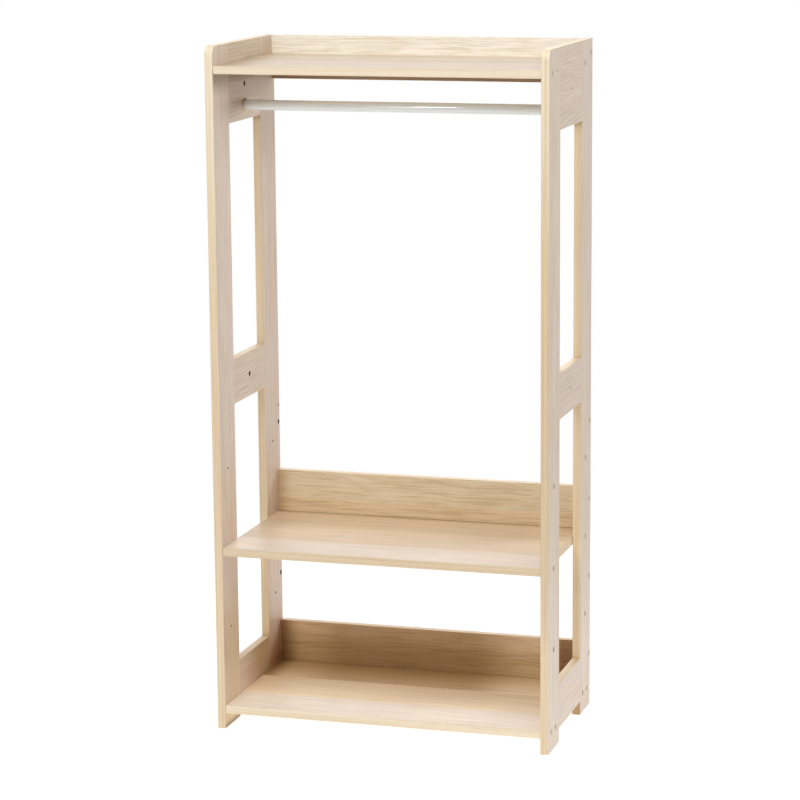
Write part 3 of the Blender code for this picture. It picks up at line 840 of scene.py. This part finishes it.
# %% Geometry recipes
class Pattern(Recipe):
    """A geometry node tree with one geometry input and named sizes."""

    def __init__(self, name, sizes):
        super().__init__(bpy.data.node_groups.new(name, "GeometryNodeTree"))
        face = self.tree.interface
        face.new_socket("Geometry", in_out="OUTPUT", socket_type="NodeSocketGeometry")
        face.new_socket("Geometry", in_out="INPUT", socket_type="NodeSocketGeometry")
        self.values = {}
        for label, value in sizes.items():
            kind = "NodeSocketFloat" if isinstance(value, float) else "NodeSocketObject"
            socket = face.new_socket(label, in_out="INPUT", socket_type=kind)
            self.values[socket.identifier] = value
        source = self.tree.nodes.new("NodeGroupInput")
        self.sizes = {output.name: Wire(self, output) for output in source.outputs}

    def moved(self, geometry, x, y, z):
        sockets = {"Geometry": geometry, "Translation": self.vector(x, y, z)}
        return self.add("GeometryNodeTransform", {}, sockets)

    def drum(self, diameter, top, bottom, steps):
        """A cylinder about Z between two heights."""
        sockets = {"Vertices": steps, "Radius": diameter * 0.5, "Depth": top - bottom}
        return self.moved(
            self.add("GeometryNodeMeshCylinder", {}, sockets), 0.0, 0.0, (top + bottom) * 0.5
        )

    def block(self, x, y, z, rise):
        """A box on the Z axis with its middle at that height."""
        sockets = {"Size": self.vector(x, y, z)}
        return self.moved(self.add("GeometryNodeMeshCube", {}, sockets), 0.0, 0.0, rise)

    def solid(self, operation, shapes, base=None):
        sockets = {"Mesh 2": shapes} if base is None else {"Mesh 1": base, "Mesh 2": shapes}
        return self.add(
            "GeometryNodeMeshBoolean", {"operation": operation, "solver": "MANIFOLD"}, sockets
        )

    def attribute(self, name, kind):
        return self.add("GeometryNodeInputNamedAttribute", {"data_type": kind}, {"Name": name})

    def placed(self, points, shape, chosen=True, roll=None):
        """The shape on each chosen point, its own Z turned to the point's aim."""
        sockets = {"Vector": self.attribute("aim", "FLOAT_VECTOR")}
        if roll:
            sockets["Rotation"] = roll
        turned = self.add("FunctionNodeAlignRotationToVector", {"axis": "Z"}, sockets)
        sockets = {"Points": points, "Selection": chosen, "Instance": shape, "Rotation": turned}
        copies = self.add("GeometryNodeInstanceOnPoints", {}, sockets)
        return self.add("GeometryNodeRealizeInstances", {}, {"Geometry": copies})

    def end(self, geometry, material):
        real = self.add("GeometryNodeRealizeInstances", {}, {"Geometry": geometry})
        sockets = {"Geometry": real, "Material": material}
        dressed = self.add("GeometryNodeSetMaterial", {}, sockets)
        last = self.tree.nodes.new("NodeGroupOutput")
        self.tree.links.new(dressed.output, last.inputs["Geometry"])

    def grow(self, name, mesh, sharp_angle):
        """Run the tree on a mesh and keep the result as a plain mesh on a new object."""
        start = bpy.data.objects.new(name + "_start", mesh)
        scene.collection.objects.link(start)
        modifier = start.modifiers.new("pattern", "NODES")
        modifier.node_group = self.tree
        for identifier, value in self.values.items():
            modifier[identifier] = value
        grown = plain_mesh(start, name)
        bpy.data.objects.remove(start)
        grown.shade_smooth()
        grown.set_sharp_from_angle(angle=sharp_angle)
        return add_piece(name, grown)


print("geometry recipes are ready")

# %% Meshes before and after a pattern
def plain_mesh(thing, name):
    """The object's mesh after its modifiers."""
    bpy.context.view_layer.update()
    evaluated = thing.evaluated_get(bpy.context.evaluated_depsgraph_get())
    mesh = bpy.data.meshes.new_from_object(evaluated)
    mesh.name = name
    return mesh


def add_piece(name, mesh):
    piece = bpy.data.objects.new(name, mesh)
    scene.collection.objects.link(piece)
    return piece


def spot_mesh(name, spots):
    """A mesh of loose points. Each spot is its place, its aim and a whole number for its kind."""
    mesh = bpy.data.meshes.new(name)
    mesh.from_pydata([place for place, aim, kind in spots], [], [])
    mesh.attributes.new("aim", "FLOAT_VECTOR", "POINT")
    mesh.attributes.new("kind", "INT", "POINT")
    for i, (place, aim, kind) in enumerate(spots):
        mesh.attributes["aim"].data[i].vector = aim
        mesh.attributes["kind"].data[i].value = kind
    return mesh


print("pattern tools are ready")

# %% [markdown]
# ## The drilled posts
# A post starts as a plain board. Its upright outer edges are eased, and a front post has one round
# corner at the top. Then a drilling machine bores the whole row: stepped holes for the screws at
# the outer face, round holes for dowels at the inner face, and dowel holes for the rails in the
# edge. Because the middle shelf fits at three heights, most holes repeat at one pitch. That rule
# suits Geometry Nodes: every hole is a point with a kind, each kind has one cutter, and one Boolean
# takes all of them out of the board. The recess of a screw hole has a narrow chamfer at its mouth,
# which shows the pale board and catches the light.

# %% Blank boards for the posts
ARRIS_RADIUS = 0.0008
ARRIS_STEPS = 3
CORNER_STEPS = 20
TOUCHING = 0.000001


def near(value, target, reach=TOUCHING):
    return abs(value - target) <= reach


def rounded(board, edges, radius, steps):
    bmesh.ops.bevel(
        board, geom=edges, offset=radius, segments=steps, profile=0.5, affect="EDGES"
    )


def post_blank(name, low, high, outer_y, corner_radius):
    """A board with eased outer edges and, where a radius is given, one round top corner."""
    board = bmesh.new()
    bmesh.ops.create_cube(board, size=1.0)
    bmesh.ops.scale(board, vec=high - low, verts=board.verts)
    bmesh.ops.translate(board, vec=(low + high) / 2, verts=board.verts)
    if corner_radius:
        corner = [
            edge for edge in board.edges
            if all(near(v.co.y, outer_y) and near(v.co.z, high.z) for v in edge.verts)
        ]
        rounded(board, corner, corner_radius, CORNER_STEPS)
    eased = []
    for edge in board.edges:
        start, end = (v.co for v in edge.verts)
        broad = near(start.x, end.x) and (near(start.x, low.x) or near(start.x, high.x))
        outside = all(near(v.y, outer_y, corner_radius + TOUCHING) for v in (start, end))
        on_top = near(start.z, high.z) and near(end.z, high.z)
        if broad and (outside or on_top):
            eased.append(edge)
    rounded(board, eased, ARRIS_RADIUS, ARRIS_STEPS)
    mesh = bpy.data.meshes.new(name)
    board.to_mesh(mesh)
    board.free()
    return mesh


print("eased edges:", ARRIS_RADIUS * 1000, "mm")

# %% Where the holes are
SHELF_PITCH = 0.150
SHELF_PLACES = 4
POST_MIDDLE = 0.1265
PAIR_OFFSET = 0.016
PILOT_RISE = 0.003
BACK_BOARD_SCREW_RISE = 0.0648
BACK_BOARD_DOWEL_RISE = 0.0318
TOP_BACK_BOARD_HOLES = (1.235, 1.202)
RAIL_DOWEL_HEIGHTS = (0.045, 0.090, 0.618, 0.662, 1.135, 1.240)
SCREW_HOLE, BOARD_DOWEL_HOLE, RAIL_DOWEL_HOLE, PILOT_HOLE = range(4)


def post_holes(side, at_front):
    """All holes of a post, as place, aim out of the wood, and kind."""
    sign = -1.0 if at_front else 1.0
    outer_x, middle_x, inner_x = (side * x for x in (OUTER_FACE, SIDE_MIDDLE, INNER_FACE))
    outwards, inwards = (side, 0.0, 0.0), (-side, 0.0, 0.0)
    shelf_heights = [LOWEST_SHELF + SHELF_PITCH * step for step in range(SHELF_PLACES)]
    places = [(sign * POST_MIDDLE, z) for z in shelf_heights[1:]]
    places += [(sign * POST_MIDDLE - PAIR_OFFSET, z) for z in (LOWEST_SHELF, TOP_SHELF)]
    places.append((sign * POST_MIDDLE + PAIR_OFFSET, LOWEST_SHELF))
    dowel_heights = []
    if not at_front:
        rises = [z + BACK_BOARD_SCREW_RISE for z in shelf_heights]
        places += [(BACK_BOARD_MIDDLE, z) for z in (*rises, TOP_BACK_BOARD_HOLES[0])]
        dowel_heights = [z + BACK_BOARD_DOWEL_RISE for z in shelf_heights]
        dowel_heights.append(TOP_BACK_BOARD_HOLES[1])
    holes = [((outer_x, y, z), outwards, SCREW_HOLE) for y, z in places]
    holes += [
        ((inner_x, BACK_BOARD_MIDDLE, z), inwards, BOARD_DOWEL_HOLE) for z in dowel_heights
    ]
    edge_y = sign * POST_INNER_EDGE
    holes += [
        ((middle_x, edge_y, z), (0.0, -sign, 0.0), RAIL_DOWEL_HOLE) for z in RAIL_DOWEL_HEIGHTS
    ]
    if at_front:
        pilot = (outer_x, -POST_MIDDLE + PAIR_OFFSET, TOP_SHELF + PILOT_RISE)
        holes.append((pilot, outwards, PILOT_HOLE))
    return holes


print("holes in a front post:", len(post_holes(1, True)))
print("holes in a rear post:", len(post_holes(1, False)))

# %% The drilling pattern
DRILL_STEPS = 40
OVERRUN = 0.001
DRILL_SIZES = {
    "Recess Diameter": 0.012,
    "Recess Depth": 0.006,
    "Recess Chamfer": 0.0010,
    "Screw Hole Diameter": 0.005,
    "Board Thickness": 0.015,
    "Dowel Hole Diameter": 0.009,
    "Board Dowel Depth": 0.010,
    "Rail Dowel Depth": 0.016,
    "Pilot Diameter": 0.004,
    "Pilot Depth": 0.003,
}


def stepped_cutter(pattern, size):
    """The cutter of a screw hole: a wide recess with a chamfered mouth, and a narrow hole."""
    through = -1.0 * size["Board Thickness"] - OVERRUN
    wide = pattern.drum(size["Recess Diameter"], OVERRUN, -1.0 * size["Recess Depth"], DRILL_STEPS)
    narrow = pattern.drum(size["Screw Hole Diameter"], 0.0, through, DRILL_STEPS)
    chamfer = size["Recess Chamfer"]
    cone = pattern.add(
        "GeometryNodeMeshCone",
        {},
        {
            "Vertices": DRILL_STEPS,
            "Radius Bottom": size["Recess Diameter"] * 0.5,
            "Radius Top": size["Recess Diameter"] * 0.5 + chamfer + OVERRUN,
            "Depth": chamfer + OVERRUN,
        },
    )
    mouth = pattern.moved(cone, 0.0, 0.0, -1.0 * chamfer)
    return pattern.solid("UNION", [wide, narrow, mouth])


def drilling(material, spots):
    """The tree that bores a blank at the spots."""
    pattern = Pattern("drilled_post", DRILL_SIZES | {"Spots": spots})
    size = pattern.sizes
    dowel = size["Dowel Hole Diameter"]
    cutters = [
        stepped_cutter(pattern, size),
        pattern.drum(dowel, OVERRUN, -1.0 * size["Board Dowel Depth"], DRILL_STEPS),
        pattern.drum(dowel, OVERRUN, -1.0 * size["Rail Dowel Depth"], DRILL_STEPS),
        pattern.drum(size["Pilot Diameter"], OVERRUN, -1.0 * size["Pilot Depth"], DRILL_STEPS),
    ]
    points = pattern.add("GeometryNodeObjectInfo", {}, {"Object": size["Spots"]}, "Geometry")
    kind = pattern.attribute("kind", "INT")
    drills = []
    for number, cutter in enumerate(cutters):
        settings = {"data_type": "INT", "operation": "EQUAL"}
        chosen = pattern.add("FunctionNodeCompare", settings, {2: kind, 3: number})
        drills.append(pattern.placed(points, cutter, chosen))
    pattern.end(pattern.solid("DIFFERENCE", drills, size["Geometry"]), material)
    return pattern


print("recess diameter:", DRILL_SIZES["Recess Diameter"] * 1000, "mm")

# %% Drill the posts
POST_SHARP_ANGLE = math.radians(40)

for node in [node for node in boards if node.endswith("_post")]:
    side = -1.0 if node.startswith("left") else 1.0
    at_front = node.endswith("front_post")
    low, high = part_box(node)
    outer_y = low.y if at_front else high.y
    blank = post_blank(node + "_blank", low, high, outer_y, CORNER_RADIUS if at_front else 0.0)
    spots = add_piece(node + "_spots", spot_mesh(node + "_spots", post_holes(side, at_front)))
    post = drilling(laminates[node], spots).grow(node + "_board", blank, POST_SHARP_ANGLE)
    bpy.data.objects.remove(spots)
    weighting = post.modifiers.new("weighting", "WEIGHTED_NORMAL")
    weighting.keep_sharp = True
    weighting.weight = 100
    smooth_mesh = plain_mesh(post, post.name)
    post.modifiers.clear()
    post.data = smooth_mesh
    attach(post, "root")
    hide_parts(node)
    print(post.name, "faces:", len(post.data.polygons))

# %% [markdown]
# ## The hanging pipe
# A steel tube with a smooth ivory coat hangs between the top rails, its ends in blind sockets. The
# measured model has it with flat facets, which show in its long reflections, so a finer tube
# replaces it. It is turned: one closed outline of the wall goes round the axis, and because the
# outline never touches the axis the tube has no poles.

# %% A shape turned round an axis
TURNED_SHARP_ANGLE = math.radians(50)


def turned_round_x(name, outline, steps):
    """A closed ring shape: a closed (x, radius) outline turned about the X axis."""
    shape = bmesh.new()
    rings = []
    for step in range(steps):
        angle = 2.0 * math.pi * step / steps
        rings.append([
            shape.verts.new((x, radius * math.cos(angle), radius * math.sin(angle)))
            for x, radius in outline
        ])
    for i in range(steps):
        here, there = rings[i], rings[(i + 1) % steps]
        for j in range(len(outline)):
            k = (j + 1) % len(outline)
            shape.faces.new((here[j], here[k], there[k], there[j]))
    bmesh.ops.recalc_face_normals(shape, faces=shape.faces)
    mesh = bpy.data.meshes.new(name)
    shape.to_mesh(mesh)
    shape.free()
    mesh.shade_smooth()
    mesh.set_sharp_from_angle(angle=TURNED_SHARP_ANGLE)
    return mesh


print("the turning tool is ready")

# %% Pipe
PIPE_STEPS = 96
PIPE_WALL = 0.0009
PIPE_RIM = 0.0003

pipe_low, pipe_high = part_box("hanging_pipe")
pipe_middle = (pipe_low + pipe_high) / 2
pipe_length = pipe_high.x - pipe_low.x
pipe_radius = (pipe_high.z - pipe_low.z) / 2
bore_radius = pipe_radius - PIPE_WALL
pipe_outline = [
    (pipe_low.x, bore_radius),
    (pipe_high.x, bore_radius),
    (pipe_high.x, pipe_radius - PIPE_RIM),
    (pipe_high.x - PIPE_RIM, pipe_radius),
    (pipe_low.x + PIPE_RIM, pipe_radius),
    (pipe_low.x, pipe_radius - PIPE_RIM),
]
pipe_mesh = turned_round_x("coated_pipe", pipe_outline, PIPE_STEPS)
pipe_mesh.transform(Matrix.Translation(Vector((0.0, pipe_middle.y, pipe_middle.z))))
pipe = add_piece("coated_pipe", pipe_mesh)
print("pipe diameter:", round(2000 * pipe_radius, 1), "mm, length:", round(pipe_length, 4), "m")

# %% [markdown]
# The pipe's coat is ivory paint with a fine orange peel and a few duller places. Its bright line is
# the reflection of a soft box. The shader's own coat layer gives that: smooth and strongly
# reflecting, it lies over the softer paint.

# %% Ivory coat
PIPE_IVORY = (0.89, 0.935, 0.91)
PIPE_RUBBED = (0.87, 0.90, 0.86)
RUBBED_LEVELS = (0.35, 0.7)
RUBBED_SHARE = 0.4
PEEL_RATES = (160, 420, 420)
RUBBED_RATES = (6, 60, 60)
PEEL_HEIGHT = 0.00001
GLOSS_LAYER = {"Coat Weight": 1.0, "Coat Roughness": 0.08, "Coat IOR": 2.1}

coat = Finish("ivory_coat")
pipe_place = coat.place()
peel_place = [wire * rate for wire, rate in zip(pipe_place, PEEL_RATES)]
rubbed_place = [wire * rate for wire, rate in zip(pipe_place, RUBBED_RATES)]
orange_peel = coat.noise(coat.vector(*peel_place), 1.0)
rubbed = coat.noise(coat.vector(*rubbed_place), 1.0, 3.0)
rubbed_share = coat.ramp(rubbed, *RUBBED_LEVELS) * RUBBED_SHARE
coat_colour = coat.blend(rubbed_share, PIPE_IVORY, PIPE_RUBBED)
for socket, value in GLOSS_LAYER.items():
    coat.shader.inputs[socket].default_value = value
pipe_mesh.materials.append(coat.wear(coat_colour, 0.30 + rubbed * 0.12, orange_peel, PEEL_HEIGHT))
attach(pipe, "root")
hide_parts("hanging_pipe")
print("gloss layer:", GLOSS_LAYER)

# %% [markdown]
# ## Screws and dowels
# Twenty-two pan-head screws sit in the stepped holes, and six loose dowels locate the back boards.
# Each kind is one pattern: the tree makes one screw or one dowel from its sizes and puts a copy on
# every point. A random roll, from a fixed seed, turns each cross slot another way, as a screwdriver
# leaves them. The screws are zinc-plated with a yellow haze, and the dowels are bare beech.

# %% Zinc and beech
ZINC_DARK = (0.52, 0.43, 0.31)
ZINC_PALE = (0.64, 0.55, 0.42)
BEECH_PALE = (0.66, 0.46, 0.27)
BEECH_FLECK = (0.50, 0.32, 0.17)
SMALL_PART_LEVELS = (0.35, 0.7)
HAZE_RATE = 700.0
HAZE_HEIGHT = 0.00002
FLECK_RATES = (120, 1500, 1500)
FLECK_HEIGHT = 0.00005

zinc = Finish("yellow_zinc")
haze = zinc.noise(zinc.vector(*zinc.place()), HAZE_RATE, 3.0, 0.6)
zinc_colour = zinc.blend(zinc.ramp(haze, *SMALL_PART_LEVELS), ZINC_DARK, ZINC_PALE)
zinc.wear(zinc_colour, 0.30 + haze * 0.2, haze, HAZE_HEIGHT, 1.0)

beech = Finish("bare_beech")
beech_place = [wire * rate for wire, rate in zip(beech.place(), FLECK_RATES)]
flecks = beech.noise(beech.vector(*beech_place), 1.0, 2.0, 0.6)
beech_colour = beech.blend(beech.ramp(flecks, *SMALL_PART_LEVELS), BEECH_PALE, BEECH_FLECK)
beech.wear(beech_colour, 0.62 + flecks * 0.1, flecks, FLECK_HEIGHT)

print("zinc and beech are ready")

# %% Head, tip and thread of a screw
SCREW_SIZES = {
    "Head Diameter": 0.0100,
    "Head Height": 0.0026,
    "Core Diameter": 0.0031,
    "Thread Diameter": 0.0042,
    "Thread Pitch": 0.0018,
    "Length": 0.040,
    "Tip Length": 0.005,
    "Slot Width": 0.0012,
}
HEAD_STEPS = 32
SHANK_STEPS = 20
# Shares of the head's height: the dome, the rim below it, the shank's end in it, the slots' middle
DOME_SHARE = 0.65
RIM_SHARE = 0.35
SHANK_SHARE = 0.3
SLOT_RISE = 0.95
# Shares of the head's diameter and of the thread's depth
SLOT_SHARE = 0.52
RIDGE_SHARE = 0.4


def screw_head(pattern, head, height):
    """The upper half of a flattened ball on a short round rim."""
    sockets = {"Segments": HEAD_STEPS, "Rings": HEAD_STEPS // 2, "Radius": head * 0.5}
    ball = pattern.add("GeometryNodeMeshUVSphere", {}, sockets)
    squeeze = pattern.vector(1.0, 1.0, height * DOME_SHARE / (head * 0.5))
    lift = pattern.vector(0.0, 0.0, height * RIM_SHARE)
    sockets = {"Geometry": ball, "Scale": squeeze, "Translation": lift}
    dome = pattern.add("GeometryNodeTransform", {}, sockets)
    rim = pattern.drum(head, height * RIM_SHARE, 0.0, HEAD_STEPS)
    above = pattern.block(head * 2, head * 2, height * 2, height)
    return pattern.solid("INTERSECT", [pattern.solid("UNION", [dome, rim]), above])


def screw_tip(pattern, size):
    sockets = {
        "Vertices": SHANK_STEPS,
        "Radius Top": size["Core Diameter"] * 0.5,
        "Radius Bottom": 0.0,
        "Depth": size["Tip Length"],
    }
    cone = pattern.add("GeometryNodeMeshCone", {}, sockets)
    return pattern.moved(cone, 0.0, 0.0, -1.0 * size["Length"])


def screw_thread(pattern, size):
    """A ridge that winds up round the core."""
    ridge = (size["Thread Diameter"] - size["Core Diameter"]) * RIDGE_SHARE
    radius = size["Thread Diameter"] * 0.5 - ridge
    length = size["Length"] - size["Tip Length"] * 0.5 - size["Head Height"] * 2
    sockets = {
        "Resolution": 16,
        "Rotations": length / size["Thread Pitch"],
        "Start Radius": radius,
        "End Radius": radius,
        "Height": length,
    }
    path = pattern.add("GeometryNodeCurveSpiral", {}, sockets)
    sockets = {"Resolution": 4, "Radius": ridge}
    profile = pattern.add("GeometryNodeCurvePrimitiveCircle", {}, sockets)
    sockets = {"Curve": path, "Profile Curve": profile, "Fill Caps": True}
    thread = pattern.add("GeometryNodeCurveToMesh", {}, sockets)
    return pattern.moved(thread, 0.0, 0.0, size["Tip Length"] * 0.5 - size["Length"])


print("screw length:", SCREW_SIZES["Length"] * 1000, "mm")

# %% Grow the screws
ROLL_SEED = 3
SCREW_SHARP_ANGLE = math.radians(35)


def screw_pattern():
    pattern = Pattern("pan_head_screws", SCREW_SIZES)
    size = pattern.sizes
    head, height, width = size["Head Diameter"], size["Head Height"], size["Slot Width"]
    shank_end = size["Tip Length"] - size["Length"]
    shank = pattern.drum(size["Core Diameter"], height * SHANK_SHARE, shank_end, SHANK_STEPS)
    cap = screw_head(pattern, head, height)
    body = pattern.solid("UNION", [cap, shank, screw_tip(pattern, size)])
    slots = [
        pattern.block(head * SLOT_SHARE, width, height, height * SLOT_RISE),
        pattern.block(width, head * SLOT_SHARE, height, height * SLOT_RISE),
    ]
    slotted = pattern.solid("DIFFERENCE", slots, body)
    shapes = [slotted, screw_thread(pattern, size)]
    screw = pattern.add("GeometryNodeJoinGeometry", {}, {"Geometry": shapes})
    angle = pattern.add(
        "FunctionNodeRandomValue", {"data_type": "FLOAT"}, {2: 0.0, 3: math.pi, 8: ROLL_SEED}, 1
    )
    roll = pattern.add("FunctionNodeEulerToRotation", {}, {0: pattern.vector(0.0, 0.0, angle)})
    pattern.end(pattern.placed(size["Geometry"], screw, roll=roll), zinc.material)
    return pattern


def fastener_spots(ending, inset):
    """A point for each node with that ending, inset from its outer end and aimed outwards."""
    spots, names = [], []
    for node in sorted(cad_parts):
        if node.endswith(ending):
            low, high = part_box(node)
            side = -1.0 if node.startswith("left") else 1.0
            outer = low.x if side < 0 else high.x
            middle = (low + high) / 2
            spots.append(((outer - side * inset, middle.y, middle.z), (side, 0.0, 0.0), 0))
            names.append(node)
    return spots, names


screw_spots, screw_nodes = fastener_spots("_screw", SCREW_SIZES["Head Height"])
screw_points = spot_mesh("screw_spots", screw_spots)
screws = screw_pattern().grow("pan_head_screws", screw_points, SCREW_SHARP_ANGLE)
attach(screws, "root")
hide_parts(*screw_nodes)
print("screws:", len(screw_nodes), "faces:", len(screws.data.polygons))

# %% Grow the dowels
DOWEL_SIZES = {
    "Diameter": 0.008,
    "Groove Depth": 0.0004,
    "Length": 0.030,
    "Chamfer": 0.0015,
}
FLUTES = 18
END_SQUEEZE = 0.25
DOWEL_SHARP_ANGLE = math.radians(25)


def dowel_pattern():
    """A star drawn along a line, and drawn in a little at both ends."""
    pattern = Pattern("fluted_dowels", DOWEL_SIZES)
    size = pattern.sizes
    half = size["Length"] * 0.5
    radius = size["Diameter"] * 0.5
    star = pattern.add(
        "GeometryNodeCurveStar",
        {},
        {"Points": FLUTES, "Inner Radius": radius - size["Groove Depth"], "Outer Radius": radius},
    )
    line = pattern.add(
        "GeometryNodeCurvePrimitiveLine",
        {},
        {"Start": pattern.vector(0.0, 0.0, -1.0 * half), "End": pattern.vector(0.0, 0.0, half)},
    )
    path = pattern.add("GeometryNodeResampleCurve", {}, {"Curve": line, "Count": 41})
    place = pattern.add("GeometryNodeInputPosition", {}, {})
    height = pattern.add("ShaderNodeSeparateXYZ", {}, {0: place}, "Z")
    past = (abs(height) - (half - size["Chamfer"])).at_least(0.0) / size["Chamfer"]
    scale = 1 - past * past * END_SQUEEZE
    sockets = {"Curve": path, "Profile Curve": star, "Scale": scale, "Fill Caps": True}
    dowel = pattern.add("GeometryNodeCurveToMesh", {}, sockets)
    pattern.end(pattern.placed(size["Geometry"], dowel), beech.material)
    return pattern


dowel_spots, dowel_nodes = fastener_spots("_dowel", DOWEL_SIZES["Length"] / 2)
dowel_points = spot_mesh("dowel_spots", dowel_spots)
dowels = dowel_pattern().grow("fluted_dowels", dowel_points, DOWEL_SHARP_ANGLE)
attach(dowels, "root")
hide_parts(*dowel_nodes)
print("dowels:", len(dowel_nodes), "faces:", len(dowels.data.polygons))
